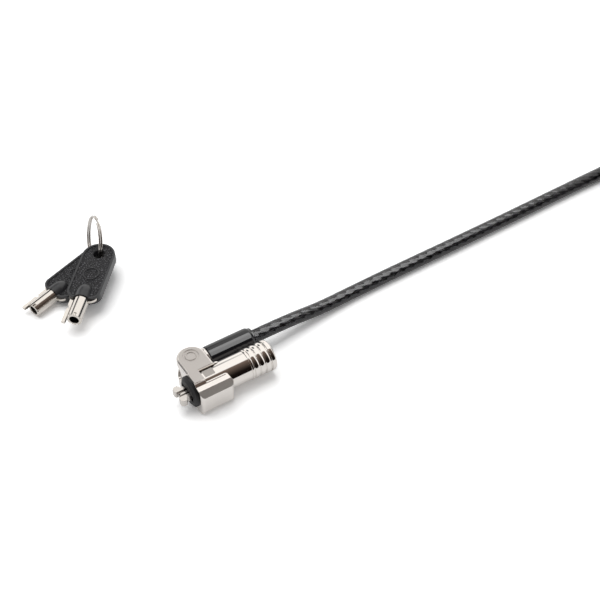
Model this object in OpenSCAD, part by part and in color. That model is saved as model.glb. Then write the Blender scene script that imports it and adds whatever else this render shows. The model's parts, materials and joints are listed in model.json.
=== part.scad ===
// Laptop cable lock: a keyed lock head with two folding hooks, its steel cable and two tubular keys.
// Millimetres. X runs along the lock's barrel towards its key end, Y towards the cable, Z up.
// The origin is the middle of the housing's flat underside, straight below the barrel's axis.

/* [Barrel] */
// Outside diameter of the barrel
barrel_d = 12.1; // [11.4:0.1:14.6]
// Length of the barrel behind the housing's front face
barrel_l = 34.3; // [33:0.1:45]
// Wall thickness of the barrel tube
barrel_wall = 0.6; // [0.5:0.05:1]
// Distance between the grip grooves
groove_pitch = 2.5; // [2:0.1:3]
// Width of a grip groove
groove_w = 0.4; // [0.2:0.05:0.6]
// Height of the grip rings over the barrel
ring_rise = 0.3; // [0.1:0.05:0.5]

/* [Housing] */
// Wall around the barrel
collar_wall = 0.92; // [0.8:0.02:1.6]
// Length of the closed band at the nose
band_l = 4.6; // [3:0.1:6]
// Length of the cradle under the barrel
cradle_l = 14.2; // [14:0.1:18]
// Length of the cable boss along the barrel
boss_l = 11.6; // [10:0.1:13]
// Free gap between the barrel's grip rings and the cable's sleeve
sleeve_gap = 0.2; // [0.2:0.05:2]
// Wall over the barrel, under the flat top
top_wall = 0.52; // [0.4:0.02:0.7]
// Edge radius of the cable boss
boss_edge_r = 1.2; // [0.6:0.1:1.8]

/* [Hooks] */
// How far the hooks stand out in front of the housing
hook_reach = 6.3; // [5:0.1:7]
// Height of the hooks
hook_h = 2.9; // [2.4:0.1:3.5]
// Half the width over the hook tips
hook_half_w = 4.1; // [3.9:0.1:4.3]
// Thickness of the tongue between the hooks
tongue_t = 0.9; // [0.6:0.1:1]

/* [Keyway and pins] */
// Outside diameter of the key's tube
key_tube_d = 6.2; // [4.8:0.1:7]
// Bore of the key's tube
key_bore_d = 4.0; // [3.7:0.1:4.2]
// Number of pins
pin_count = 7; // [5:1:7]
// Diameter of a pin
pin_d = 0.84; // [0.7:0.02:0.9]
// How deep the key goes into the lock
key_depth = 8.2; // [7:0.1:9]

/* [Keys] */
// Width of the key's bow
bow_w = 14; // [12:0.5:18]
// Length of the key's bow
bow_l = 30.8; // [26:0.1:37]
// Thickness of the key's bow
bow_t = 3.8; // [3.4:0.1:5]
// Length of tube that shows in front of the bow
tube_l = 10.5; // [10:0.5:16]
// Diameter of the hole for the ring
ring_hole_d = 4.8; // [4.7:0.1:5.2]
// Outside diameter of the split ring
ring_d = 20.6; // [20:0.1:21.4]
// Thickness of the ring's wire
ring_wire_d = 1.0; // [0.8:0.05:1.1]

/* [Cable] */
// Diameter of the sheathed cable
cable_d = 5.5; // [4.5:0.1:6.6]
// Diameter of the sleeve behind the housing
sleeve_d = 9.3; // [8.4:0.1:10]
// Length of the sleeve
sleeve_l = 20.2; // [16:0.1:26]

/* [Hidden] */
$fn = 64;

// Clearances
seat_gap = 0.03;     // pieces that sit still in each other
turn_gap = 0.05;     // shafts that turn
slide_gap = 0.1;     // loose guides
eps = 0.01;

// Barrel and housing
barrel_r = barrel_d / 2;
barrel_bore_r = barrel_r - barrel_wall;
collar_bore_r = barrel_r + seat_gap;
collar_r = collar_bore_r + collar_wall;
floor_wall = 0.1;
axis_h = collar_r + floor_wall;
top_h = axis_h + collar_bore_r + top_wall;
front_x = -7;
ring_r = barrel_r + ring_rise;
cable_offset = ring_r + sleeve_gap + sleeve_d / 2;
boss_r = boss_l / 2;
boss_centre_y = cable_offset - 1.4;
plate_edge_y = 2.7;
cradle_open_y = 3.5;
cradle_half_w = collar_r + 1.25;
shelf_in = [-3.4, axis_h + collar_r - 1.2];
facet_w = 2.15;
shelf_drop = 0.7;
facet_drop = 2.3;
groove_count = 4;
end_band_l = 2.4;
end_edge_r = 1.0;
first_groove_x = barrel_l - end_band_l - (groove_count - 1) * groove_pitch;
lead_band_l = 1.1;
groove_depth = 0.15;
bead_r = (lead_band_l - groove_w / 2) / 2;
rim_edge_r = 0.25;
index_x = band_l + 0.8;
index_l = 4.2;
index_w = 3.2;
index_depth = 0.22;

// Nose and hooks
cap_flange_r = barrel_r + 0.15;
cap_edge_t = 0.9;
cap_t = 1.8;
cap_face_r = cap_flange_r - 1.3;
cap_l = 7.5;
cap_plug_r = barrel_bore_r - seat_gap;
slot_half_w = hook_half_w + 0.2;
slot_h = hook_h + 2 * slide_gap;
pivot_x = 4.9;
pivot_y = 2.6;
pivot_r = 0.75;
pivot_half_l = 4.15;
fold_gap = 0.83;
tongue_tip_r = 1.2;
tongue_reach = hook_reach - 0.8;
tongue_foot_x = 0.9;
tongue_foot_l = 2.1;
tongue_foot_rise = 0.8;
tip_inner_y = tongue_t / 2 + fold_gap;
shank_outer_y = 2.75;
body_outer_y = 3.6;
tip_l = 2.4;
tail_x = 9.6;
tail_inner_y = 1.25;
cam_narrow_r = 1.1;
cam_wide_r = 1.35;
cam_x = 7.8;
cam_l = 2.2;

// Lock case, plug and pins, from the key end inwards
case_r = barrel_bore_r - seat_gap;
case_wall = 0.55;
chamber_r = case_r - case_wall;
case_x = 10.8;
face_x = barrel_l - 0.4;
face_t = 1.2;
keyway_r = key_tube_d / 2 + 0.15;
post_r = key_bore_d / 2 - 0.15;
fin_t = 1.2;
fin_in_y = key_tube_d / 2 + 0.1;
fin_out_y = chamber_r - 0.15;
fin_slot_w = fin_t + 0.3;
fin_slot_r = fin_out_y + 0.1;
fin_lead = 2.0;
fin_end_gap = 0.4;
tube_stop_x = face_x - key_depth;
pin_pitch_r = (key_tube_d + key_bore_d) / 4;
pin_r = pin_d / 2;
pin_hole_r = pin_r + turn_gap;
cuts = [0.1, 0.6, 0.35, 0.85, 0.35, 0.6, 0.1];
flange_x = 20.6;
flange_r = chamber_r - turn_gap;
flange_l = tube_stop_x - 1 - flange_x;
shear_x = flange_x - turn_gap;
block_x = 11.0;
block_r = chamber_r - seat_gap;
driver_l = 2.9;
spring_x = 13.7;
spindle_r = 1.5;
clip_x = 10.25;
clip_t = 0.45;
clip_groove_r = 1.1;
clip_r = 2.6;
lock_pin_x = 12.4;
lock_pin_r = 0.75;
lock_pin_in = 3.6;
lock_pin_recess = 0.5;

// Cable end
cable_r = cable_d / 2;
shank_r = cable_r + 0.15;
stop_r = shank_r + 0.35;
stop_bore_r = stop_r + 0.25;
stop_seat_x = 4.2;
stop_head_l = 1.9;
washer_t = 1.3;
washer_r = sleeve_d / 2 - 0.1;
washer_x = boss_l + turn_gap;
sleeve_x = washer_x + washer_t + seat_gap;
sleeve_end_x = sleeve_x + sleeve_l;
sleeve_r = sleeve_d / 2;
sleeve_shoulder_r = 2.2;
rim_l = 0.4;
rim_r = cable_r + 0.35;
socket_l = 4.5;
exit_x = front_x + sleeve_end_x + rim_l;

// Coil: two piled layers, wound clockwise from its top edge
coil_centre = [248, -26];
coil_turns = 7;
coil_out_r = 42;
coil_pitch = cable_d + 0.5;
layer_step = cable_d + 0.45;
floor_z = cable_r;
upper_z = floor_z + layer_step;
loop_z = upper_z + layer_step + 0.35;
loop_rings = 24;
coil_sides = 6;
coil_in_r = coil_out_r - coil_pitch * coil_turns / 2;
coil_gate = [coil_centre.x, coil_centre.y + coil_out_r];

// Crimp, lying on the coil, with its two strands side by side
crimp_x = [252, 268];
crimp_y = -43;
crimp_wall = 0.5;
strand_gap = cable_d + 0.5;
near_y = crimp_y - strand_gap / 2;
far_y = crimp_y + strand_gap / 2;

// Route of the cable from the sleeve down to the floor and along it to the coil
lead_route = [[exit_x, cable_offset, axis_h], [exit_x + 8, cable_offset, axis_h],
    [46, 12, floor_z + 3.05], [60, 13, floor_z + 0.95], [76, 14, floor_z + 0.05],
    [96, 14.4, floor_z], [128, 14.6, floor_z], [160, 15, floor_z], [192, 15.6, floor_z],
    [220, 16, floor_z], [240, 16, floor_z], [coil_gate.x, coil_gate.y, floor_z]];

// Tail: leaves the coil's upper layer, climbs on to it and turns across it to the crimp
tail_route = [[coil_gate.x, coil_gate.y, upper_z], [253.5, 16, upper_z + 0.05],
    [264, 12.9, upper_z + 0.6], [277.5, 4.1, upper_z + 1.9], [287, -9, upper_z + 3.7],
    [290.2, -24, upper_z + 5.3], [287.5, -36, loop_z - 0.1], [280, -43.4, loop_z],
    [273, near_y, loop_z], [crimp_x[1], near_y, loop_z]];

// Anchor loop, lying on the coil, from the crimp round and back to it
eye_route = [[crimp_x[0], near_y, loop_z], [247, near_y - 0.6, loop_z], [240, -52, loop_z],
    [231, -58, loop_z - 0.1], [221, -58.4, loop_z - 0.4], [212, -53, loop_z - 0.5],
    [208.4, -43, loop_z - 0.5], [212, -33, loop_z - 0.5], [221, -27.6, loop_z - 0.4],
    [231, -28, loop_z - 0.1], [240, -34, loop_z], [247, far_y + 0.6, loop_z],
    [crimp_x[0], far_y, loop_z]];

// Keys
bow_end = 5.8;
key_len = bow_l - bow_end + tube_l;
bow_corner_r = 4;
rim_w = 0.9;
field_depth = 0.35;
neck_r = key_tube_d / 2 + 0.5;
neck_l = 5.6;
tube_root = neck_l - neck_r + 1.2;
tang_t = 1.2;
tang_overhang = 0.7;
tang_root_x = 12;
tang_inset = 0.9;
tang_corner_r = 3.4;
notch_from_bow = 4.4;
notch_l = 1.3;
notch_depth = 0.8;
thumb_x = -11.5;
thumb_ring_r = 3.4;
thumb_ring_w = 0.5;
key_1_hole = [-4.55, 85.87, 5.4];
key_turn = 17;
key_tilt = 3.6;
fan_angle = 30;
key_2_shift = [-0.03, -2.35, bow_t + 0.12];

// Ring
ring_wire_r = ring_wire_d / 2;
ring_mid_r = ring_d / 2 - ring_wire_r;
ring_centre = [-1.61, 93.35];
ring_heading = 77.3;
ring_lean = 14.1;
ring_turn_gap = 0.1;
ring_floor_gap = 0.06;

// ---------- shared shapes ----------

// Draws its children with their Z axis along the barrel's axis and z = 0 at the housing's front face.
module on_barrel_axis() {
    translate([front_x, 0, axis_h]) rotate([0, 90, 0]) children();
}

// The same along the cable's axis.
module on_cable_axis() {
    translate([front_x, cable_offset, axis_h]) rotate([0, 90, 0]) children();
}

// A round bar between two stations of the axis it is drawn on.
module bar(r, x0, x1) {
    translate([0, 0, x0]) cylinder(r = r, h = x1 - x0);
}

// A tube between two stations of the axis it is drawn on.
module sleeve_between(r, bore, x0, x1) {
    difference() {
        bar(r, x0, x1);
        bar(bore, x0 - 1, x1 + 1);
    }
}

// Hole for the retaining pin, from under the housing up to a height.
module cross_pin_hole(top) {
    translate([front_x + lock_pin_x, 0, -1]) cylinder(r = lock_pin_r + seat_gap, h = top + 1);
}

// Puts one copy of its children at each pin's place round the axis.
module at_pins() {
    for (i = [0:pin_count - 1])
        rotate([0, 0, 180 + i * 360 / pin_count]) translate([pin_pitch_r, 0, 0]) {
            $pin = i;
            children();
        }
}

// ---------- swept cable ----------

function mix(a, b, t) = a + (b - a) * t;
function unit(v) = v / norm(v);

// Catmull-Rom point at t between p1 and p2.
function spline_point(p0, p1, p2, p3, t) = 0.5 * (2 * p1 + (p2 - p0) * t
    + (2 * p0 - 5 * p1 + 4 * p2 - p3) * t * t + (3 * p1 - p0 - 3 * p2 + p3) * t * t * t);

// A smooth line through the route, with a given number of steps in each stretch.
function smooth(route, steps) = concat([for (i = [0:len(route) - 2], s = [0:steps - 1])
    spline_point(route[max(i - 1, 0)], route[i], route[i + 1], route[min(i + 2, len(route) - 1)],
        s / steps)], [route[len(route) - 1]]);

function tangent(path, i) = unit(path[min(i + 1, len(path) - 1)] - path[max(i - 1, 0)]);

// Points of one ring, square to the path, with its side direction kept level.
function ring_points(centre, along, r, sides) =
    let (side = unit(cross([0, 0, 1], along)), up = cross(along, side))
    [for (k = [0:sides - 1]) let (a = (k + 0.5) * 360 / sides)
        centre + r * (cos(a) * side + sin(a) * up)];

// Closed faces for a tube of n rings.
function tube_faces(n, sides) = concat(
    [[for (k = [0:sides - 1]) k]],
    [for (i = [0:n - 2], k = [0:sides - 1]) let (a = i * sides + k, b = i * sides + (k + 1) % sides)
        [a, a + sides, b]],
    [for (i = [0:n - 2], k = [0:sides - 1]) let (a = i * sides + k, b = i * sides + (k + 1) % sides)
        [b, a + sides, b + sides]],
    [[for (k = [sides - 1:-1:0]) (n - 1) * sides + k]]);

// A tube swept along a path, whose first and last rings stand square to the given directions.
module swept(path, r, sides, start_dir, end_dir) {
    n = len(path);
    points = [for (i = [0:n - 1]) each ring_points(path[i],
        i == 0 ? start_dir : i == n - 1 ? end_dir : tangent(path, i), r, sides)];
    polyhedron(points, tube_faces(n, sides), convexity = 10);
}

// ---------- housing and barrel ----------

// Upright section of the cable boss, half of it, with rounded edges.
module boss_half_section() {
    difference() {
        square([boss_r, top_h]);
        translate([boss_r - boss_edge_r, top_h - boss_edge_r]) square(boss_edge_r + 1);
        translate([boss_r - boss_edge_r, -1]) square([boss_edge_r + 1, boss_edge_r + 1]);
    }
    translate([boss_r - boss_edge_r, top_h - boss_edge_r]) circle(boss_edge_r);
    translate([boss_r - boss_edge_r, boss_edge_r]) circle(boss_edge_r);
}

// Rounded boss that the cable swivels in, and the flat web that joins it to the collar.
module cable_boss() {
    translate([front_x + boss_r, boss_centre_y, 0]) rotate_extrude() boss_half_section();
    translate([front_x + boss_r, boss_centre_y, 0]) rotate([90, 0, 0])
        linear_extrude(boss_centre_y) {
            boss_half_section();
            mirror([1, 0]) boss_half_section();
        }
}

// Section of the collar across the barrel: round and flat on top, with the cradle on its open side.
module collar_section() {
    foot_r = 3;
    shelf_out = [facet_w - cradle_half_w, shelf_in.y - shelf_drop];
    wall_top = [-cradle_half_w, shelf_out.y - facet_drop];
    intersection() {
        union() {
            translate([0, axis_h]) circle(collar_r, $fn = 96);
            // shelf, slanted facet and wall of the cradle
            polygon([[cradle_open_y, 0], [cradle_open_y, axis_h], shelf_in, shelf_out, wall_top, [-cradle_half_w, foot_r],
                [foot_r - cradle_half_w, 0]]);
            translate([foot_r - cradle_half_w, foot_r]) circle(foot_r);
        }
        translate([-cradle_half_w - 1, 0]) square([cradle_half_w + collar_r + 2, top_h]);
    }
}

// Side view of the collar: its front edge is eased and the cradle's upper rear corner is round.
module collar_side_view() {
    front_r = 0.5;
    rear_r = 2.2;
    wall_h = shelf_in.y;
    square([band_l, axis_h]);
    translate([front_r, 0]) square([band_l - front_r, top_h]);
    square([front_r, top_h - front_r]);
    translate([front_r, top_h - front_r]) circle(front_r);
    square([cradle_l - rear_r, wall_h]);
    square([cradle_l, wall_h - rear_r]);
    translate([cradle_l - rear_r, wall_h - rear_r]) circle(rear_r);
}

module collar() {
    intersection() {
        translate([front_x, 0, 0]) rotate([90, 0, 90]) linear_extrude(cradle_l) collar_section();
        translate([front_x, collar_r + 1, 0]) rotate([90, 0, 0])
            linear_extrude(collar_r + cradle_half_w + 2) collar_side_view();
        // upright edges on the outer side
        translate([front_x, 0, -1]) linear_extrude(top_h + 2) {
            edge_r = 1.6;
            depth = cradle_half_w + collar_r;
            translate([edge_r, edge_r - cradle_half_w]) circle(edge_r);
            translate([cradle_l - edge_r, edge_r - cradle_half_w]) circle(edge_r);
            translate([edge_r, -cradle_half_w]) square([cradle_l - 2 * edge_r, depth]);
            translate([0, edge_r - cradle_half_w]) square([cradle_l, depth - edge_r]);
        }
    }
}

// Hollow round ring left standing on the boss's flat top.
module top_recess() {
    recess_r = 3.1;
    recess_depth = 0.25;
    translate([front_x + boss_r, boss_centre_y + 0.6, top_h - recess_depth]) difference() {
        cylinder(r = recess_r, h = 1);
        translate([0, 0, -1]) difference() {
            cylinder(r = recess_r - 0.8, h = 3);
            translate([0, 0, -1]) cylinder(r = recess_r - 1.3, h = 5);
        }
    }
}

module housing() {
    color("#b9b1ab") difference() {
        union() {
            cable_boss();
            collar();
        }
        on_barrel_axis() bar(collar_bore_r, -1, cradle_l + 1);
        // open window over the barrel
        translate([front_x + band_l, shelf_in.x, axis_h])
            cube([cradle_l, plate_edge_y - shelf_in.x, top_h]);
        // room behind the boss for the ring and the sleeve
        translate([front_x + boss_l, cradle_open_y, -1]) cube([cradle_l, collar_r, top_h + 2]);
        // cable bore, and the wider seat for the stop at its front
        on_cable_axis() bar(shank_r + turn_gap, -1, boss_l + 1);
        on_cable_axis() bar(stop_bore_r, -1, stop_seat_x);
        cross_pin_hole(axis_h);
        top_recess();
    }
}

// Section of the barrel to turn round its axis: radius across, length up.
module barrel_section() {
    translate([barrel_bore_r, seat_gap]) square([barrel_wall, first_groove_x]);
    // bead before the first groove, flat where it meets the grip rings' height
    intersection() {
        translate([barrel_r, first_groove_x - lead_band_l / 2 - groove_w / 4]) circle(bead_r);
        translate([barrel_bore_r, 0]) square([ring_r - barrel_bore_r, first_groove_x]);
    }
    // rounded rings between the grooves
    half = (groove_pitch - groove_w) / 2;
    round_r = (half * half + ring_rise * ring_rise) / (2 * ring_rise);
    for (i = [0:groove_count - 2])
        translate([0, first_groove_x + (i + 0.5) * groove_pitch]) intersection() {
            translate([ring_r - round_r, 0]) circle(round_r, $fn = 96);
            translate([barrel_bore_r, -half]) square([ring_r, 2 * half]);
        }
    // floor of the grooves
    translate([barrel_bore_r, first_groove_x - groove_w])
        square([barrel_wall - groove_depth, groove_count * groove_pitch]);
    // end band with its rounded edge
    band_x = first_groove_x + (groove_count - 1) * groove_pitch + groove_w / 2;
    band_w = ring_r - barrel_bore_r;
    straight_l = barrel_l - band_x - end_edge_r;
    translate([barrel_bore_r, band_x]) square([band_w - rim_edge_r, straight_l]);
    translate([barrel_bore_r, band_x + rim_edge_r]) square([band_w, straight_l - rim_edge_r]);
    translate([ring_r - rim_edge_r, band_x + rim_edge_r]) circle(rim_edge_r);
    intersection() {
        translate([ring_r - end_edge_r, barrel_l - end_edge_r]) circle(end_edge_r);
        translate([barrel_bore_r, 0]) square([ring_r, barrel_l]);
    }
}

module barrel() {
    color("#d8d4d0") difference() {
        on_barrel_axis() rotate_extrude($fn = 96) barrel_section();
        // index recess on top, just behind the band
        translate([front_x + index_x, -index_w / 2, axis_h + barrel_r - index_depth])
            cube([index_l, index_w, 1]);
        cross_pin_hole(axis_h);
    }
}

// ---------- nose and hooks ----------

module nose_cap() {
    color("#1b1b1c") difference() {
        on_barrel_axis() {
            translate([0, 0, -cap_edge_t]) cylinder(r = cap_flange_r, h = cap_edge_t);
            translate([0, 0, -cap_t])
                cylinder(r1 = cap_face_r, r2 = cap_flange_r, h = cap_t - cap_edge_t + eps);
            bar(cap_plug_r, -eps, cap_l);
        }
        translate([front_x - cap_t - 1, -slot_half_w, axis_h - slot_h / 2])
            cube([cap_l + cap_t + 2, 2 * slot_half_w, slot_h]);
        for (side = [-1, 1])
            translate([front_x + pivot_x, side * pivot_y, axis_h - pivot_half_l - slide_gap])
                cylinder(r = pivot_r + seat_gap, h = 2 * (pivot_half_l + slide_gap));
        // seat of the tongue, above and below the slot
        foot_half_h = slot_h / 2 + tongue_foot_rise + seat_gap;
        translate([front_x + tongue_foot_x, -tongue_t / 2 - seat_gap, axis_h - foot_half_h])
            cube([tongue_foot_l + 2 * seat_gap, tongue_t + 2 * seat_gap, 2 * foot_half_h]);
    }
}

// Fixed blade between the hooks, with a rounded nose and a cross piece keyed into the cap.
module centre_tongue() {
    foot_half_h = slot_h / 2 + tongue_foot_rise;
    blade_l = tongue_reach + tongue_foot_x + tongue_foot_l + seat_gap - tongue_tip_r;
    color("#b8b4ae") translate([front_x, tongue_t / 2, axis_h]) rotate([90, 0, 0])
        linear_extrude(tongue_t) {
            translate([-tongue_reach + tongue_tip_r, 0]) circle(tongue_tip_r);
            translate([-tongue_reach + tongue_tip_r, -tongue_tip_r])
                square([blade_l, 2 * tongue_tip_r]);
            translate([tongue_foot_x + seat_gap, -foot_half_h])
                square([tongue_foot_l, 2 * foot_half_h]);
        }
}

// Outline of the hook on the +Y side, seen from above, with x = 0 at the housing's front face.
module hook_outline() {
    tip_x = -hook_reach;
    difference() {
        polygon([[tip_x, tip_inner_y + 0.5], [tip_x + 0.5, tip_inner_y], [pivot_x - 1.5, tip_inner_y],
            [pivot_x + 1.5, tail_inner_y], [tail_x, tail_inner_y], [tail_x, 2.3],
            [pivot_x + 1.8, body_outer_y], [1.4, body_outer_y], [0.4, shank_outer_y],
            [tip_x + tip_l + 0.5, shank_outer_y], [tip_x + tip_l, hook_half_w - 0.2],
            [tip_x + tip_l - 0.3, hook_half_w], [tip_x + 0.9, hook_half_w], [tip_x, hook_half_w - 0.8]]);
        translate([pivot_x, pivot_y]) circle(pivot_r + turn_gap);
    }
}

module hook_left() {
    color("#b8b4ae") translate([front_x, 0, axis_h - hook_h / 2])
        linear_extrude(hook_h) hook_outline();
}

module hook_right() {
    color("#b8b4ae") translate([front_x, 0, axis_h - hook_h / 2])
        linear_extrude(hook_h) mirror([0, 1]) hook_outline();
}

module hook_pins() {
    color("#8f8f92") for (side = [-1, 1])
        translate([front_x + pivot_x, side * pivot_y, axis_h - pivot_half_l])
            cylinder(r = pivot_r, h = 2 * pivot_half_l);
}

// ---------- lock works ----------

// Slot for the key's fin, through a plate or a flange of the given stations.
module fin_slot(x0, x1, r) {
    translate([-r, -fin_slot_w / 2, x0]) cube([r, fin_slot_w, x1 - x0]);
}

module lock_case() {
    color("#c9c6c2") difference() {
        on_barrel_axis() {
            difference() {
                bar(case_r, case_x, face_x);
                bar(chamber_r, case_x - 1, face_x - face_t);
                bar(keyway_r, face_x - face_t - 1, face_x + 1);
                fin_slot(face_x - face_t - 1, face_x + 1, fin_slot_r);
            }
        }
        cross_pin_hole(axis_h);
    }
}

module pin_block() {
    color("#c8a24a") difference() {
        on_barrel_axis() difference() {
            bar(block_r, block_x, shear_x);
            bar(spindle_r + turn_gap, block_x - 1, shear_x + 1);
            at_pins() bar(pin_hole_r, spring_x, shear_x + 1, $fn = 24);
        }
        cross_pin_hole(axis_h - lock_pin_in + seat_gap);
    }
}

module driver_pins() {
    color("#c8a24a") on_barrel_axis() at_pins()
        translate([0, 0, shear_x - driver_l]) cylinder(r = pin_r, h = driver_l - eps, $fn = 24);
}

module pin_springs() {
    color("#9a9a9d") on_barrel_axis() at_pins() translate([0, 0, spring_x + eps]) difference() {
        cylinder(r = pin_r - 0.02, h = shear_x - driver_l - spring_x - 2 * eps, $fn = 24);
        translate([0, 0, -1]) cylinder(r = pin_r / 2, h = 10, $fn = 24);
    }
}

// Stadium-shaped cam: narrow across the hooks when locked, wide when turned a quarter.
module cam_outline() {
    step = cam_wide_r - cam_narrow_r;
    for (side = [-1, 1]) translate([side * step, 0]) circle(cam_narrow_r);
    square([2 * step, 2 * cam_narrow_r], center = true);
}

module plug() {
    flange_end = flange_x + flange_l;
    color("#c9c6c2") on_barrel_axis() {
        difference() {
            union() {
                bar(flange_r, flange_x, flange_end);
                bar(post_r, flange_x, face_x - 0.1);
            }
            at_pins() bar(pin_hole_r, flange_x - 1, flange_end + 1, $fn = 24);
            // drive slot that the key's fin drops into
            difference() {
                fin_slot(tube_stop_x - fin_lead - fin_end_gap, flange_end + 1, flange_r + 1);
                bar(keyway_r, flange_x, flange_end + 2);
            }
        }
        difference() {
            bar(spindle_r, cam_x, flange_x + eps);
            sleeve_between(spindle_r + 1, clip_groove_r, clip_x - turn_gap, clip_x + clip_t + turn_gap);
            bar(spindle_r + 1, cam_x - 1, cam_x + cam_l - eps);
        }
        translate([0, 0, cam_x]) linear_extrude(cam_l) cam_outline();
    }
}

module key_pins() {
    color("#c8a24a") on_barrel_axis() at_pins()
        translate([0, 0, flange_x + eps])
            cylinder(r = pin_r, h = tube_stop_x - flange_x - 2 * eps - cuts[0] + cuts[$pin], $fn = 24);
}

module plug_clip() {
    color("#9a9a9d") on_barrel_axis() difference() {
        bar(clip_r, clip_x, clip_x + clip_t);
        bar(clip_groove_r + seat_gap, clip_x - 1, clip_x + clip_t + 1);
        translate([-clip_groove_r * 0.85, 0, clip_x - 1]) cube([clip_groove_r * 1.7, clip_r + 1, 3]);
    }
}

module retaining_pin() {
    color("#8f8f92") translate([front_x + lock_pin_x, 0, lock_pin_recess])
        cylinder(r = lock_pin_r, h = axis_h - lock_pin_recess - lock_pin_in);
}

// ---------- cable end ----------

// Swaged end of the cable: a head in the boss's front seat and a shank right through it.
module cable_stop() {
    head_x = stop_seat_x - turn_gap - stop_head_l;
    color("#77777a") on_cable_axis() {
        rotate_extrude() {
            translate([0, head_x + 0.5]) square([stop_r, stop_head_l - 0.5]);
            translate([0, head_x]) square([stop_r - 0.5, 1]);
            translate([stop_r - 0.5, head_x + 0.5]) circle(0.5);
        }
        bar(shank_r, head_x + 1, sleeve_x + socket_l - seat_gap);
    }
}

module swivel_ring() {
    color("#d8d4d0") on_cable_axis() difference() {
        rotate_extrude() {
            translate([0, washer_x]) square([washer_r - 0.25, washer_t]);
            translate([0, washer_x + 0.25]) square([washer_r, washer_t - 0.5]);
            translate([washer_r - 0.25, washer_x + 0.25]) circle(0.25);
            translate([washer_r - 0.25, washer_x + washer_t - 0.25]) circle(0.25);
        }
        bar(shank_r + seat_gap, washer_x - 1, washer_x + washer_t + 1);
    }
}

// Moulded sleeve: a straight body, a round rear shoulder and a thin rim where the cable leaves it.
module strain_relief() {
    color("#17171a") on_cable_axis() difference() {
        rotate_extrude() {
            front_r = 0.6;
            translate([0, sleeve_x + front_r]) square([sleeve_r, sleeve_l - front_r - sleeve_shoulder_r]);
            translate([0, sleeve_x]) square([sleeve_r - front_r, sleeve_l]);
            translate([sleeve_r - front_r, sleeve_x + front_r]) circle(front_r);
            intersection() {
                translate([sleeve_r - sleeve_shoulder_r, sleeve_end_x - sleeve_shoulder_r])
                    circle(sleeve_shoulder_r);
                translate([0, sleeve_x]) square([sleeve_r, sleeve_l]);
            }
            square_end = sleeve_r - sleeve_shoulder_r;
            translate([0, sleeve_x]) square([square_end, sleeve_l]);
            translate([0, sleeve_end_x - 0.5]) square([rim_r, 0.5 + rim_l]);
        }
        bar(shank_r + seat_gap, sleeve_x - 1, sleeve_x + socket_l);
    }
}

// ---------- cable ----------

// Cable in view: out of the sleeve, down to the floor and along it.
module cable_lead() {
    color("#1d1d1f") swept(smooth(lead_route, 2), cable_r, 10, [1, 0, 0], [1, 0, 0]);
}

// Height in the coil at a number of turns: one layer, a climb in half a turn, the next layer.
function coil_height(t) = let (s = min(max((t - coil_turns / 2) * 2 + 0.5, 0), 1))
    mix(floor_z, upper_z, s * s * (3 - 2 * s));

function coil_point(t) = let (a = 90 - 360 * t, r = coil_in_r + coil_pitch * abs(t - coil_turns / 2))
    [coil_centre.x + r * cos(a), coil_centre.y + r * sin(a), coil_height(t)];

// Wound part, with one straight diameter of cable at each end.
coil_start = coil_point(0);
coil_end = coil_point(coil_turns);
coil_path = concat([coil_start],
    [for (i = [1:coil_turns * loop_rings - 1]) coil_point(i / loop_rings)],
    [coil_end]);

// Least free distance between turns that lie beside or on each other.
coil_gap = min([for (i = [0:len(coil_path) - 1], j = [i + loop_rings / 2:len(coil_path) - 1])
    norm(coil_path[i] - coil_path[j])]) - cable_d;
echo(least_gap_in_coil = coil_gap);

module cable_coil() {
    color("#1d1d1f") swept(coil_path, cable_r, coil_sides, [1, 0, 0], [1, 0, 0]);
}

module cable_tail() {
    color("#1d1d1f") swept(smooth(tail_route, 2), cable_r, 10, [1, 0, 0], [-1, 0, 0]);
}

module cable_eye() {
    color("#1d1d1f") swept(smooth(eye_route, 2), cable_r, 10, [-1, 0, 0], [1, 0, 0]);
}

// Crimp that holds both strands of the loop.
module crimp_sleeve() {
    r = cable_r + crimp_wall;
    color("#b9b9bc") translate([crimp_x[0], crimp_y, loop_z]) rotate([90, 0, 90])
        linear_extrude(crimp_x[1] - crimp_x[0]) {
            for (side = [-1, 1]) translate([side * strand_gap / 2, 0]) circle(r);
            square([strand_gap, 2 * r], center = true);
        }
}

// ---------- keys ----------

// Outline of the bow, drawn in from its edge by an inset. The hole is at the origin, the tube towards -X.
module bow_outline(inset) {
    r = bow_w / 2;
    corner = bow_corner_r - inset;
    tube_end = bow_end - bow_l;
    translate([bow_end - r, 0]) circle(r - inset, $fn = 96);
    translate([tube_end + bow_corner_r, -(r - inset)])
        square([bow_end - r - tube_end - bow_corner_r, 2 * (r - inset)]);
    for (side = [-1, 1])
        translate([tube_end + bow_corner_r, side * (r - bow_corner_r)]) circle(corner);
    translate([tube_end + inset, -(r - bow_corner_r)]) square([bow_corner_r, 2 * (r - bow_corner_r)]);
}

// Flat tang inside the bow, whose end shows at the bow's corners, and the fin beside the tube.
module tang_outline() {
    edge = bow_end - bow_l - tang_overhang;
    half_w = bow_w / 2 - tang_inset;
    straight_x = edge + tang_corner_r;
    for (side = [-1, 1]) translate([straight_x, side * (half_w - tang_corner_r)]) circle(tang_corner_r);
    translate([edge, tang_corner_r - half_w]) square([tang_corner_r, 2 * (half_w - tang_corner_r)]);
    translate([straight_x, -half_w]) square([-tang_root_x - edge, 2 * half_w]);
    // fin, with the notch near the bow
    difference() {
        translate([-key_len - fin_lead, fin_in_y])
            square([key_len + fin_lead + straight_x, fin_out_y - fin_in_y]);
        translate([edge - notch_from_bow, fin_out_y - notch_depth]) square([notch_l, 2]);
    }
}

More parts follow.
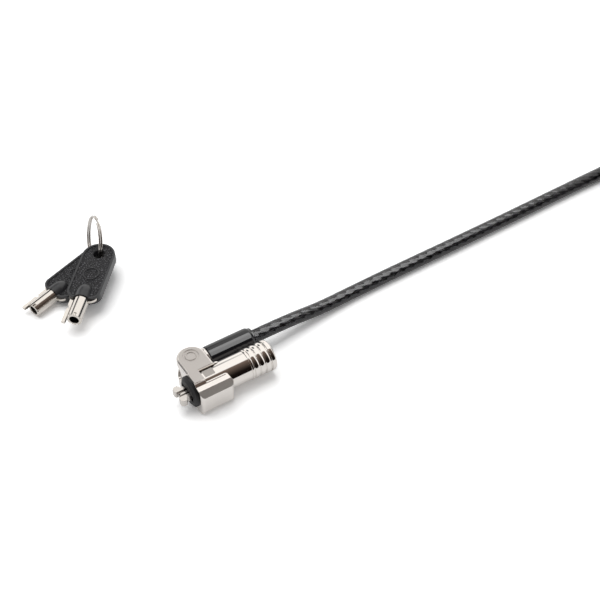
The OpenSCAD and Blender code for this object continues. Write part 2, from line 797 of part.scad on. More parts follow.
module key_blade() {
    color("#d5d2ce") difference() {
        union() {
            translate([-key_len, 0, 0]) rotate([0, 90, 0])
                cylinder(r = key_tube_d / 2, h = tube_l + tube_root);
            translate([0, 0, -tang_t / 2]) linear_extrude(tang_t) tang_outline();
        }
        translate([-key_len - 1, 0, 0]) rotate([0, 90, 0]) cylinder(r = key_bore_d / 2, h = tube_l + 1);
        // bitting: one cut in the tube's end for each pin
        for (i = [0:pin_count - 1])
            translate([-key_len - 1, 0, 0]) rotate([90 + (i + 0.5) * 360 / pin_count, 0, 0])
                translate([0, 0, key_tube_d / 2 + 0.1]) rotate([0, 90, 0])
                    cylinder(r = pin_r + 0.12, h = 1.2 + 2 * cuts[i], $fn = 24);
    }
}

// Sunk field on one face of the bow: a rim round it and a plain ring for the thumb stay standing.
module sunk_field() {
    difference() {
        bow_outline(rim_w);
        translate([thumb_x, 0]) difference() {
            circle(thumb_ring_r);
            circle(thumb_ring_r - thumb_ring_w);
        }
    }
}

module key_bow() {
    tube_end = bow_end - bow_l;
    tang_half_w = bow_w / 2 - tang_inset + seat_gap;
    color("#1e1e20") difference() {
        union() {
            difference() {
                translate([0, 0, -bow_t / 2]) linear_extrude(bow_t) bow_outline(0);
                for (flip = [0, 1]) mirror([0, 0, flip])
                    translate([0, 0, bow_t / 2 - field_depth]) linear_extrude(1) sunk_field();
            }
            // half-round neck round the tube
            translate([tube_end, 0, 0]) rotate([0, 90, 0]) cylinder(r = neck_r, h = tube_root);
            translate([tube_end + tube_root, 0, 0]) difference() {
                sphere(neck_r);
                translate([-2 * neck_r, -neck_r, -neck_r]) cube(2 * neck_r);
            }
        }
        cylinder(r = ring_hole_d / 2, h = bow_t + 2, center = true);
        // room for the tube and the tang
        translate([tube_end - 1, 0, 0]) rotate([0, 90, 0])
            cylinder(r = key_tube_d / 2 + seat_gap, h = tube_root + 1 + seat_gap);
        translate([tube_end - 2, -tang_half_w, -tang_t / 2 - seat_gap])
            cube([2 - tube_end - tang_root_x + tang_corner_r + seat_gap, 2 * tang_half_w,
                tang_t + 2 * seat_gap]);
    }
}

// Lower key: leans on its tube's tip, its hole end lifted by the ring.
module place_key_1() {
    translate(key_1_hole) rotate([0, 0, key_turn]) rotate([0, -key_tilt, 0]) children();
}

// Upper key: lies on the lower key's bow, fanned out from it.
module place_key_2() {
    place_key_1() translate(key_2_shift) rotate([0, 0, fan_angle]) children();
}

module key_1_blade() { place_key_1() key_blade(); }
module key_1_bow() { place_key_1() key_bow(); }
module key_2_blade() { place_key_2() key_blade(); }
module key_2_bow() { place_key_2() key_bow(); }

// Split ring: two flat turns of wire with one short step from the first to the second.
module key_ring() {
    steps = 30;
    rings = 2 * steps;
    end_gap = 8;
    half_step = ring_wire_r + ring_turn_gap / 2;
    path = [for (i = [0:rings]) let (a = end_gap + i * (720 - 2 * end_gap) / rings,
        s = min(max((a - 360) / 40 + 0.5, 0), 1), lift = mix(-half_step, half_step, s * s * (3 - 2 * s)))
        [ring_mid_r * cos(a + 90), ring_mid_r * sin(a + 90), lift]];
    n = len(path);
    points = [for (i = [0:n - 1]) let (along = tangent(path, i), out = unit([path[i].x, path[i].y, 0]),
        up = unit(cross(out, along))) each [for (k = [0:7]) let (b = (k + 0.5) * 45)
            path[i] + ring_wire_r * (cos(b) * out + sin(b) * up)]];
    centre_z = ring_floor_gap + ring_wire_r + half_step * sin(ring_lean) + ring_mid_r * cos(ring_lean);
    color("#cfccc8") translate([ring_centre.x, ring_centre.y, centre_z])
        rotate([0, 0, ring_heading]) rotate([90 + ring_lean, 0, 0])
            polyhedron(points, tube_faces(n, 8), convexity = 10);
}

housing();
barrel();
nose_cap();
centre_tongue();
hook_left();
hook_right();
hook_pins();
lock_case();
pin_block();
driver_pins();
pin_springs();
plug();
key_pins();
plug_clip();
retaining_pin();
cable_stop();
swivel_ring();
strain_relief();
cable_lead();
cable_coil();
cable_tail();
cable_eye();
crimp_sleeve();
key_1_blade();
key_1_bow();
key_2_blade();
key_2_bow();
key_ring();
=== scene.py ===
"""Laptop cable lock with its steel cable and two tubular keys. Metres; X runs along the lock's barrel
towards its key end, Y towards the cable, Z up from the table that everything lies on."""
import json
import math

import bmesh
import bpy
from mathutils import Matrix, Vector
from mathutils.bvhtree import BVHTree


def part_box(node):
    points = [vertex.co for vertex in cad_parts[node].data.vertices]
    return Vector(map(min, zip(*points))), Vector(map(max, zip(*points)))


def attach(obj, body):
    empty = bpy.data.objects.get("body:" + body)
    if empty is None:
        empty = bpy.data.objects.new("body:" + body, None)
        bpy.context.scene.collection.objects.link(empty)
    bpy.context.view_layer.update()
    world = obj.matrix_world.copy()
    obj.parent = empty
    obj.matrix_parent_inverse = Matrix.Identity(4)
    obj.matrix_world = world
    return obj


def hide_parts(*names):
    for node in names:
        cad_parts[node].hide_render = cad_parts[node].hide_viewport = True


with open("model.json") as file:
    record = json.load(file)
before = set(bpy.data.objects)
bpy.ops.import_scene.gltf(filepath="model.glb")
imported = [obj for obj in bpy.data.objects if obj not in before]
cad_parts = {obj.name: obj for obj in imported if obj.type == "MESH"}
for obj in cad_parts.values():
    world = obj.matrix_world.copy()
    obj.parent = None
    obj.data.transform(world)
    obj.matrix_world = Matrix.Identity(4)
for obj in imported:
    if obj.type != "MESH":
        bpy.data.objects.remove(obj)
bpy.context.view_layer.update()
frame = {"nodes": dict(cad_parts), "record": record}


# ---------------------------------------------------------------- camera
# A long lens looks down on the lock at 45 degrees, from beyond its nose and its open side. It stands half
# a metre away, so that the lock, its keys and the first stretch of cable fill the view.
MM = 0.001
AIM = Vector((57.1, 24.3, 0.0)) * MM
AZIMUTH = math.radians(-33)
ELEVATION = math.radians(45)
DISTANCE = 473 * MM

towards_camera = Vector((
    math.sin(AZIMUTH) * math.cos(ELEVATION),
    -math.cos(AZIMUTH) * math.cos(ELEVATION),
    math.sin(ELEVATION),
))
camera = bpy.data.objects.new("camera", bpy.data.cameras.new("camera"))
bpy.context.scene.collection.objects.link(camera)
camera.data.lens = 68.7
camera.data.clip_start = 10 * MM
camera.data.clip_end = 20.0
camera.location = AIM + towards_camera * DISTANCE
camera.rotation_mode = "QUATERNION"
camera.rotation_quaternion = (-towards_camera).to_track_quat("-Z", "Y")
bpy.context.scene.camera = camera


# ---------------------------------------------------------------- table
# A matt white sweep that the lock lies on. It keeps the pieces' soft shadows, and runs out into the white
# room behind it without a horizon.
def linear(hex_colour):
    """An sRGB hex colour as the linear RGBA that a shader takes."""
    parts = [int(hex_colour[i:i + 2], 16) / 255 for i in (1, 3, 5)]
    return [c / 12.92 if c <= 0.04045 else ((c + 0.055) / 1.055) ** 2.4 for c in parts] + [1.0]


def node(tree, kind, inputs=None, **settings):
    """Adds a node, sets its properties, and gives its inputs a value or a link from another node."""
    made = tree.nodes.new(kind)
    for name, value in settings.items():
        setattr(made, name, value)
    for name, value in (inputs or {}).items():
        if isinstance(value, bpy.types.NodeSocket):
            tree.links.new(value, made.inputs[name])
        else:
            made.inputs[name].default_value = value
    return made


def new_material(name):
    """An empty material with its output, as (material, tree, output)."""
    made = bpy.data.materials.new(name)
    made.use_nodes = True
    made.node_tree.nodes.clear()
    return made, made.node_tree, made.node_tree.nodes.new("ShaderNodeOutputMaterial")


TABLE_HALF = 3.0
TABLE_Z = -0.02 * MM
table_mesh = bpy.data.meshes.new("table")
table_mesh.from_pydata(
    [(x * TABLE_HALF, y * TABLE_HALF, TABLE_Z) for x, y in ((-1, -1), (1, -1), (1, 1), (-1, 1))],
    [], [(0, 1, 2, 3)])
table = bpy.data.objects.new("table", table_mesh)
bpy.context.scene.collection.objects.link(table)

# Matt white card. To the eye it is burnt out to a clean white that still takes shadows, and it glows more
# the further off it is. Metal sees it a little greyer, with a glow of its own.
GLOW_NEAR, GLOW_FAR, GLOW_IN_METAL = 0.02, 0.6, 0.18
white_sweep, tree, output = new_material("white_sweep")
rays = node(tree, "ShaderNodeLightPath")
seen = node(tree, "ShaderNodeMath",
            {0: rays.outputs["Is Camera Ray"], 1: rays.outputs["Is Transmission Ray"]}, operation="MAXIMUM")
mirrored = node(tree, "ShaderNodeMath", {0: rays.outputs["Is Glossy Ray"], 1: GLOW_IN_METAL},
                operation="MULTIPLY")
from_middle = node(tree, "ShaderNodeVectorMath", {0: node(tree, "ShaderNodeTexCoord").outputs["Object"]},
                   operation="LENGTH")
far_off = node(tree, "ShaderNodeMapRange",
               {"Value": from_middle.outputs["Value"], "From Min": 0.4, "From Max": 1.2,
                "To Min": GLOW_NEAR, "To Max": GLOW_FAR})
lift = node(tree, "ShaderNodeMath", {0: seen.outputs[0], 1: far_off.outputs[0], 2: mirrored.outputs[0]},
            operation="MULTIPLY_ADD")
burnt_out = node(tree, "ShaderNodeMapRange", {"Value": seen.outputs[0], "To Min": 0.78, "To Max": 1.42})
matt = node(tree, "ShaderNodeBsdfDiffuse", {"Color": burnt_out.outputs["Result"]})
glow = node(tree, "ShaderNodeEmission", {"Color": linear("#FFFFFF"), "Strength": lift.outputs[0]})
both = node(tree, "ShaderNodeAddShader", {0: matt.outputs[0], 1: glow.outputs[0]})
tree.links.new(both.outputs[0], output.inputs["Surface"])
table.data.materials.append(white_sweep)


# ---------------------------------------------------------------- lamps and room
# One broad soft lamp stands above the lock and a little behind it, and the room fills the shadows. Metal
# and gloss show the room alone: white walls, an unlit side in front, and three grey flags.
bpy.context.scene.view_settings.view_transform = "Standard"


def square_lamp(name, place, aim, size, watts):
    """A broad square lamp that shines from one place towards another, and that the camera doesn't see."""
    light = bpy.data.lights.new(name, "AREA")
    light.shape = "SQUARE"
    light.size = size
    light.energy = watts
    lamp = bpy.data.objects.new(name, light)
    bpy.context.scene.collection.objects.link(lamp)
    lamp.location = place
    lamp.rotation_mode = "QUATERNION"
    lamp.rotation_quaternion = (Vector(aim) - Vector(place)).to_track_quat("-Z", "Y")
    lamp.visible_camera = False
    return lamp


soft_lamp = square_lamp("soft_lamp", (-0.04, 0.34, 1.0), (0, 0, 0), 0.9, 6.6)
soft_lamp.visible_glossy = False
soft_lamp.visible_transmission = False

ROOM_STRENGTH = 1.25
FILL_STRENGTH = 0.45
room = bpy.data.worlds.new("room")
bpy.context.scene.world = room
room.use_nodes = True
tree = room.node_tree
tree.nodes.clear()
rays = node(tree, "ShaderNodeLightPath")
direction = node(tree, "ShaderNodeTexCoord").outputs["Generated"]


def room_part(towards, edge, inside):
    """A smooth 0 to 1 share of the room, by how nearly a direction points towards a place in it."""
    nearly = node(tree, "ShaderNodeVectorMath", {0: direction, 1: Vector(towards).normalized()},
                  operation="DOT_PRODUCT")
    return node(tree, "ShaderNodeMapRange",
                {"Value": nearly.outputs["Value"], "From Min": edge, "From Max": inside},
                interpolation_type="SMOOTHSTEP").outputs["Result"]


# The unlit side spans the front, up to where the lit right end begins, and is darkest straight ahead.
unlit_front = room_part((-0.1, -1.0, 0.05), 0.04, 0.12)
short_of_right = room_part((-0.825, -0.565, 0.0), -0.31, -0.25)
unlit_side = node(tree, "ShaderNodeMath", {0: unlit_front, 1: short_of_right}, operation="MINIMUM").outputs[0]
frontward = node(tree, "ShaderNodeVectorMath", {0: direction, 1: (0, -1, 0)}, operation="DOT_PRODUCT")
depth = node(tree, "ShaderNodeMapRange",
             {"Value": frontward.outputs["Value"], "From Min": 0.05, "From Max": 0.85})
unlit = node(tree, "ShaderNodeMix",
             {"Factor": depth.outputs["Result"], "A": linear("#74665E"), "B": linear("#120D0B")},
             data_type="RGBA")
wall = node(tree, "ShaderNodeMix",
            {"Factor": unlit_side, "A": linear("#FDFCFA"), "B": unlit.outputs["Result"]}, data_type="RGBA")
wall_colour = wall.outputs["Result"]
FLAGS = (((-0.71, 0.59, 0.385), 0.88, 0.95), ((0.984, 0.034, 0.174), 0.945, 0.985),
         ((0.10, 0.86, 0.50), 0.964, 0.988))
for towards, edge, inside in FLAGS:
    flagged = node(tree, "ShaderNodeMix",
                   {"Factor": room_part(towards, edge, inside), "A": wall_colour, "B": linear("#34363A")},
                   data_type="RGBA")
    wall_colour = flagged.outputs["Result"]
reflected = node(tree, "ShaderNodeBackground", {"Color": wall_colour, "Strength": ROOM_STRENGTH})
plain_white = node(tree, "ShaderNodeBackground", {"Color": linear("#FFFFFF"), "Strength": 1.0})
fill = node(tree, "ShaderNodeBackground", {"Color": linear("#FFFFFF"), "Strength": FILL_STRENGTH})
straight = node(tree, "ShaderNodeMath",
                {0: rays.outputs["Is Camera Ray"], 1: rays.outputs["Is Transmission Ray"]},
                operation="MAXIMUM")
lit_or_gloss = node(tree, "ShaderNodeMixShader",
                    {0: rays.outputs["Is Glossy Ray"], 1: fill.outputs[0], 2: reflected.outputs[0]})
whole = node(tree, "ShaderNodeMixShader",
             {0: straight.outputs[0], 1: lit_or_gloss.outputs[0], 2: plain_white.outputs[0]})
node(tree, "ShaderNodeOutputWorld", {"Surface": whole.outputs[0]})


# ---------------------------------------------------------------- cable
# A galvanised steel rope of eight strands round a core, in a smoked clear vinyl sheath. It leaves the
# sleeve, runs over the table and is put away in a coil, with an anchor loop crimped on its end.
CABLE_D = 5.5 * MM
CABLE_AXIS = Vector((0, 11.2, 7.1)) * MM
SLEEVE_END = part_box("strain_relief")[1].x
EXIT = Vector((SLEEVE_END, CABLE_AXIS.y, CABLE_AXIS.z))

# Heights of the cable's axis in millimetres: on the table, on the coil's upper layer, and on the coil.
FLOOR_Z = 2.75
UPPER_Z = 8.7
LOOP_Z = 15.0
COIL_CENTRE = Vector((248, -26))
COIL_TURNS = 7
COIL_OUT_R = 42
COIL_PITCH = 6.0
COIL_IN_R = COIL_OUT_R - COIL_PITCH * COIL_TURNS / 2
TURN_POINTS = 48
ROUTE_STEPS = 8

exit_mm = EXIT / MM
LEAD_ROUTE = [tuple(exit_mm), (exit_mm.x + 8, exit_mm.y, exit_mm.z), (46, 12, 5.8), (60, 13, 3.7),
              (76, 14, 2.8), (96, 14.4, FLOOR_Z), (128, 14.6, FLOOR_Z), (160, 15, FLOOR_Z),
              (192, 15.6, FLOOR_Z), (220, 16, FLOOR_Z), (240, 16, FLOOR_Z), (248, 16, FLOOR_Z)]
TAIL_ROUTE = [(248, 16, UPPER_Z), (253.5, 16, 8.75), (264, 12.9, 9.3), (277.5, 4.1, 10.6),
              (287, -9, 12.4), (290.2, -24, 14), (287.5, -36, 14.9), (280, -43.4, LOOP_Z),
              (273, -46, LOOP_Z), (268, -46, LOOP_Z)]
EYE_ROUTE = [(252, -46, LOOP_Z), (247, -46.6, LOOP_Z), (240, -52, LOOP_Z), (231, -58, 14.9),
             (221, -58.4, 14.6), (212, -53, 14.5), (208.4, -43, 14.5), (212, -33, 14.5),
             (221, -27.6, 14.6), (231, -28, 14.9), (240, -34, LOOP_Z), (247, -39.4, LOOP_Z),
             (252, -40, LOOP_Z), (262, -40, LOOP_Z)]


def smooth_route(route):
    """Points of a Catmull-Rom curve through a route in millimetres, in metres."""
    points = [Vector(p) * MM for p in route]
    line = []
    for i in range(len(points) - 1):
        before, here, there = points[max(i - 1, 0)], points[i], points[i + 1]
        after = points[min(i + 2, len(points) - 1)]
        for step in range(ROUTE_STEPS):
            t = step / ROUTE_STEPS
            line.append(0.5 * (2 * here + (there - before) * t
                               + (2 * before - 5 * here + 4 * there - after) * t * t
                               + (3 * here - before - 3 * there + after) * t ** 3))
    return line + [points[-1]]


def coil_point(turn):
    """A point of the coil, which spirals in on the table and out again on the layer above."""
    angle = math.radians(90 - 360 * turn)
    radius = COIL_IN_R + COIL_PITCH * abs(turn - COIL_TURNS / 2)
    climb = min(max((turn - COIL_TURNS / 2) * 2 + 0.5, 0), 1)
    height = FLOOR_Z + (UPPER_Z - FLOOR_Z) * climb * climb * (3 - 2 * climb)
    return Vector((COIL_CENTRE.x + radius * math.cos(angle),
                   COIL_CENTRE.y + radius * math.sin(angle), height)) * MM


coil_steps = COIL_TURNS * TURN_POINTS
cable_line = (
    smooth_route(LEAD_ROUTE)
    + [coil_point(i / TURN_POINTS) for i in range(1, coil_steps)]
    + smooth_route(TAIL_ROUTE)
    + smooth_route(EYE_ROUTE)
)

# The rope and its sheath are both laid along that line by one tree of nodes: strands wind round it
# at an even pitch, and each is a round tube that keeps two attributes, its way along and round it.
laid_rope = bpy.data.node_groups.new("laid_rope", "GeometryNodeTree")
for name, kind in (("Line", "NodeSocketGeometry"), ("Strands", "NodeSocketInt"),
                   ("Strand radius", "NodeSocketFloat"), ("Offset", "NodeSocketFloat"),
                   ("Lay", "NodeSocketFloat"), ("Step", "NodeSocketFloat"),
                   ("Sides", "NodeSocketInt"), ("Finish", "NodeSocketMaterial")):
    laid_rope.interface.new_socket(name, in_out="INPUT", socket_type=kind)
laid_rope.interface.new_socket("Rope", in_out="OUTPUT", socket_type="NodeSocketGeometry")

tree = laid_rope
given = node(tree, "NodeGroupInput").outputs
line = node(tree, "GeometryNodeMeshToCurve", {"Mesh": given["Line"]})
even = node(tree, "GeometryNodeResampleCurve", {"Curve": line.outputs[0], "Length": given["Step"]},
            mode="LENGTH")
copies = node(tree, "GeometryNodeDuplicateElements",
              {"Geometry": even.outputs[0], "Amount": given["Strands"]}, domain="SPLINE")
along = node(tree, "GeometryNodeSplineParameter").outputs["Length"]
turns = node(tree, "ShaderNodeMath", {0: along, 1: given["Lay"]}, operation="DIVIDE")
share = node(tree, "ShaderNodeMath", {0: copies.outputs["Duplicate Index"], 1: given["Strands"]},
             operation="DIVIDE")
total = node(tree, "ShaderNodeMath", {0: turns.outputs[0], 1: share.outputs[0]}, operation="ADD")
angle = node(tree, "ShaderNodeMath", {0: total.outputs[0], 1: math.tau}, operation="MULTIPLY").outputs[0]
across = node(tree, "GeometryNodeInputNormal").outputs["Normal"]
ahead = node(tree, "GeometryNodeInputTangent").outputs["Tangent"]
upward = node(tree, "ShaderNodeVectorMath", {0: ahead, 1: across}, operation="CROSS_PRODUCT").outputs[0]
cosine = node(tree, "ShaderNodeMath", {0: angle}, operation="COSINE").outputs[0]
sine = node(tree, "ShaderNodeMath", {0: angle}, operation="SINE").outputs[0]
across_part = node(tree, "ShaderNodeVectorMath", {0: across, "Scale": cosine}, operation="SCALE")
upward_part = node(tree, "ShaderNodeVectorMath", {0: upward, "Scale": sine}, operation="SCALE")
outward = node(tree, "ShaderNodeVectorMath", {0: across_part.outputs[0], 1: upward_part.outputs[0]},
               operation="ADD")
wound = node(tree, "ShaderNodeVectorMath", {0: outward.outputs[0], "Scale": given["Offset"]},
             operation="SCALE")
placed = node(tree, "GeometryNodeSetPosition", {"Geometry": copies.outputs[0], "Offset": wound.outputs[0]})
marked = node(tree, "GeometryNodeStoreNamedAttribute",
              {"Geometry": placed.outputs[0], "Name": "along", "Value": along},
              data_type="FLOAT", domain="POINT")
ring = node(tree, "GeometryNodeCurvePrimitiveCircle",
            {"Resolution": given["Sides"], "Radius": given["Strand radius"]})
ring_place = node(tree, "GeometryNodeInputPosition").outputs[0]
ring_marked = node(tree, "GeometryNodeStoreNamedAttribute",
                   {"Geometry": ring.outputs[0], "Name": "around", "Value": ring_place},
                   data_type="FLOAT_VECTOR", domain="POINT")
tubes = node(tree, "GeometryNodeCurveToMesh",
             {"Curve": marked.outputs[0], "Profile Curve": ring_marked.outputs[0], "Fill Caps": True})
smooth = node(tree, "GeometryNodeSetShadeSmooth", {"Geometry": tubes.outputs[0]})
real = node(tree, "GeometryNodeRealizeInstances", {"Geometry": smooth.outputs[0]})
finished = node(tree, "GeometryNodeSetMaterial", {"Geometry": real.outputs[0], "Material": given["Finish"]})
node(tree, "NodeGroupOutput", {"Rope": finished.outputs[0]})


def grown(name, points, edges, group, values):
    """A plain mesh object that a tree of nodes makes from a line, with the tree's inputs by name."""
    start = bpy.data.meshes.new(name + "_line")
    start.from_pydata(points, edges, [])
    source = bpy.data.objects.new(name + "_line", start)
    bpy.context.scene.collection.objects.link(source)
    modifier = source.modifiers.new("grow", "NODES")
    modifier.node_group = group
    sockets = {s.name: s.identifier for s in group.interface.items_tree if s.in_out == "INPUT"}
    for key, value in values.items():
        modifier[sockets[key]] = value
    evaluated = source.evaluated_get(bpy.context.evaluated_depsgraph_get())
    mesh = bpy.data.meshes.new_from_object(evaluated)
    mesh.name = name
    bpy.data.objects.remove(source)
    made = bpy.data.objects.new(name, mesh)
    bpy.context.scene.collection.objects.link(made)
    return made


STRANDS = 8
ROPE_LAY = 38 * MM


def laid_ridges(tree, count, lay):
    """Height of ridges that wind round a laid tube: its count of ridges, and the length of one turn."""
    around = node(tree, "ShaderNodeAttribute", attribute_name="around").outputs["Vector"]
    along = node(tree, "ShaderNodeAttribute", attribute_name="along").outputs["Fac"]
    split = node(tree, "ShaderNodeSeparateXYZ", {0: around})
    turned = node(tree, "ShaderNodeMath", {0: split.outputs["Y"], 1: split.outputs["X"]}, operation="ARCTAN2")
    across = node(tree, "ShaderNodeMath", {0: turned.outputs[0], 1: count}, operation="MULTIPLY")
    wound = node(tree, "ShaderNodeMath", {0: along, 1: math.tau * count / lay}, operation="MULTIPLY")
    phase = node(tree, "ShaderNodeMath", {0: across.outputs[0], 1: wound.outputs[0]}, operation="SUBTRACT")
    return node(tree, "ShaderNodeMath", {0: phase.outputs[0]}, operation="COSINE").outputs[0]


# Smoked clear vinyl, extruded tight over the rope: glossy, with the strands pressed through it as low
# ridges and showing dark inside.
smoked_vinyl, tree, output = new_material("smoked_vinyl")
STRAND_RELIEF = 0.045 * MM
pressed = node(tree, "ShaderNodeBump",
               {"Height": laid_ridges(tree, STRANDS, ROPE_LAY), "Distance": STRAND_RELIEF, "Strength": 1.0})
vinyl = node(tree, "ShaderNodeBsdfPrincipled",
             {"Base Color": linear("#38383B"), "Roughness": 0.08, "IOR": 1.45, "Transmission Weight": 1.0,
              "Normal": pressed.outputs["Normal"]})
tree.links.new(vinyl.outputs[0], output.inputs["Surface"])

# Galvanised wire: dull grey metal, with the single wires showing as fine ridges along each strand.
galvanised_wire, tree, output = new_material("galvanised_wire")
WIRES_ROUND = 10
WIRE_LAY = 18 * MM
WIRE_RELIEF = 0.05 * MM
relief = node(tree, "ShaderNodeBump",
              {"Height": laid_ridges(tree, WIRES_ROUND, WIRE_LAY), "Distance": WIRE_RELIEF, "Strength": 0.8})
wire = node(tree, "ShaderNodeBsdfPrincipled",
            {"Base Color": linear("#C8C7C5"), "Metallic": 1.0, "Roughness": 0.26,
             "Normal": relief.outputs["Normal"]})
tree.links.new(wire.outputs[0], output.inputs["Surface"])

line_edges = [(i, i + 1) for i in range(len(cable_line) - 1)]
sheath = grown("cable_sheath", cable_line, line_edges, laid_rope, {
    "Strands": 1, "Strand radius": CABLE_D / 2, "Offset": 0.0, "Lay": 1.0, "Step": 1.6 * MM,
    "Sides": 24, "Finish": smoked_vinyl})
rope = grown("cable_rope", cable_line, line_edges, laid_rope, {
    "Strands": STRANDS, "Strand radius": 0.66 * MM, "Offset": 1.76 * MM, "Lay": ROPE_LAY, "Step": 1.8 * MM,
    "Sides": 8, "Finish": galvanised_wire})

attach(sheath, "cable")
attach(rope, "cable")
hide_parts("cable_lead", "cable_coil", "cable_tail", "cable_eye")


# ---------------------------------------------------------------- housing
# One zinc die casting, nickel plated: a boss for the cable, a band round the barrel and a cradle behind
# it. Its flat top and the cradle's slanted face are bead blasted, the rest is polished.
body_of = {name: body for body, names in frame["record"]["behaviour"]["bodies"].items() for name in names}


def fitted(piece, *nodes):
    """Lets a piece stand for CAD nodes, on their body."""
    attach(piece, body_of[nodes[0]])
    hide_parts(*nodes)


CREASE = math.radians(30)


def eased_copy(node_name, piece_name, edge, finish):
    """A piece with a CAD node's shape, as one closed mesh whose sharp edges are eased by a small bevel."""
    mesh = frame["nodes"][node_name].data.copy()
    mesh.name = piece_name
    shape = bmesh.new()
    shape.from_mesh(mesh)
    bmesh.ops.remove_doubles(shape, verts=shape.verts, dist=0.002 * MM)
    bmesh.ops.dissolve_limit(shape, angle_limit=math.radians(0.4), verts=shape.verts, edges=shape.edges)
    for face in shape.faces:
        face.smooth = True
    shape.to_mesh(mesh)
    plain_surface = BVHTree.FromBMesh(shape)
    shape.free()
    mesh.materials.clear()
    mesh.materials.append(finish)
    piece = bpy.data.objects.new(piece_name, mesh)
    bpy.context.scene.collection.objects.link(piece)
    bevel = piece.modifiers.new("eased", "BEVEL")
    bevel.width = edge
    bevel.segments = 2
    bevel.limit_method = "ANGLE"
    bevel.angle_limit = CREASE
    bevel.use_clamp_overlap = False
    even = piece.modifiers.new("even_shading", "WEIGHTED_NORMAL")
    even.keep_sharp = True
    state = bpy.context.evaluated_depsgraph_get()
    eased = bpy.data.meshes.new_from_object(
        piece.evaluated_get(state), preserve_all_data_layers=True, depsgraph=state)
    piece.modifiers.clear()
    # A corner that the bevel throws clear of the plain shape comes back to it.
    for corner in eased.vertices:
        nearest, _, _, gap = plain_surface.find_nearest(corner.co)
        if gap > 0.75 * edge:
            corner.co = nearest
    piece.data = eased
    fitted(piece, node_name)
    return piece


def plated_metal(name, colour, rough, grain_mm, relief_mm, rough_swing=0.04):
    """A metal with a fine grain and broad rougher smears, as (material, tree, shader)."""
    made, tree, output = new_material(name)
    place = node(tree, "ShaderNodeTexCoord").outputs["Object"]
    grain = node(tree, "ShaderNodeTexNoise",
                 {"Vector": place, "Scale": 1 / (grain_mm * MM), "Detail": 3.0, "Roughness": 0.6})
    smear = node(tree, "ShaderNodeTexNoise", {"Vector": place, "Scale": 1 / (4 * MM), "Detail": 4.0})
    worn = node(tree, "ShaderNodeMapRange",
                {"Value": smear.outputs["Fac"], "From Min": 0.3, "From Max": 0.7,
                 "To Min": rough - rough_swing, "To Max": rough + rough_swing})
    relief = node(tree, "ShaderNodeBump",
                  {"Height": grain.outputs["Fac"], "Distance": relief_mm * MM, "Strength": 1.0})
    shader = node(tree, "ShaderNodeBsdfPrincipled",
                  {"Base Color": linear(colour), "Metallic": 1.0, "Roughness": worn.outputs["Result"],
                   "Normal": relief.outputs["Normal"]})
    tree.links.new(shader.outputs[0], output.inputs["Surface"])
    return made, tree, shader


# Satin nickel where the casting was blasted, a pale even grey, and bright nickel where it was buffed,
# which mirrors the room. The blasted faces lie on three planes: the flat top, the floor of the round
# recess in it, and the cradle's slanted face. The pits, really 0.1 mm, are drawn wider so that they show.
TOP_Z = 13.70 * MM
RECESS_FLOOR_Z = 13.45 * MM
FACET_POINT = Vector((0, -6.1, 12.2)) * MM
FACET_NORMAL = Vector((0, -2.3, 2.15)).normalized()
UPWARD = Vector((0, 0, 1))
BRIGHT_NICKEL = "#E6E1DC"
BUFFED_ROUGH = 0.09
BLASTED_ROUGH = 0.52
PIT_SIZE = 0.22 * MM
satin_nickel, tree, shader = plated_metal(
    "satin_and_bright_nickel", BRIGHT_NICKEL, BUFFED_ROUGH, 0.5, 0.0006, 0.02)
place = node(tree, "ShaderNodeTexCoord").outputs["Object"]


def on_plane(point, normal):
    """1 on a plane, and 0 from a tenth of a millimetre away."""
    offset = node(tree, "ShaderNodeVectorMath", {0: place, 1: point}, operation="SUBTRACT")
    height = node(tree, "ShaderNodeVectorMath", {0: offset.outputs[0], 1: normal}, operation="DOT_PRODUCT")
    away = node(tree, "ShaderNodeMath", {0: height.outputs["Value"]}, operation="ABSOLUTE")
    return node(tree, "ShaderNodeMapRange",
                {"Value": away.outputs[0], "From Min": 0.03 * MM, "From Max": 0.08 * MM,
                 "To Min": 1.0, "To Max": 0.0}).outputs["Result"]


flat_top = node(tree, "ShaderNodeMath",
                {0: on_plane(UPWARD * TOP_Z, UPWARD), 1: on_plane(UPWARD * RECESS_FLOOR_Z, UPWARD)},
                operation="MAXIMUM").outputs[0]
blasted = node(tree, "ShaderNodeMath", {0: flat_top, 1: on_plane(FACET_POINT, FACET_NORMAL)},
               operation="MAXIMUM").outputs[0]
pits = node(tree, "ShaderNodeTexNoise", {"Vector": place, "Scale": 1 / PIT_SIZE, "Detail": 4.0})
pit_depth = node(tree, "ShaderNodeMath", {0: pits.outputs["Fac"], 1: blasted}, operation="MULTIPLY")
pit_relief = node(tree, "ShaderNodeBump",
                  {"Height": pit_depth.outputs[0], "Distance": 0.03 * MM, "Strength": 1.0})
rough_mix = node(tree, "ShaderNodeMapRange",
                 {"Value": blasted, "To Min": BUFFED_ROUGH, "To Max": BLASTED_ROUGH})
tone = node(tree, "ShaderNodeMix",
            {"Factor": flat_top, "A": linear(BRIGHT_NICKEL), "B": linear("#C9C4C0")}, data_type="RGBA")
tree.links.new(pit_relief.outputs["Normal"], shader.inputs["Normal"])
tree.links.new(rough_mix.outputs["Result"], shader.inputs["Roughness"])
tree.links.new(tone.outputs["Result"], shader.inputs["Base Color"])
eased_copy("housing", "housing_casting", 0.12 * MM, satin_nickel)


# ---------------------------------------------------------------- barrel
# A drawn and turned brass tube, polished and nickel plated. Rounded rings are rolled into its key end
# for grip, and a small index recess is milled on top.
INDEX_FLOOR_Z = 12.93 * MM

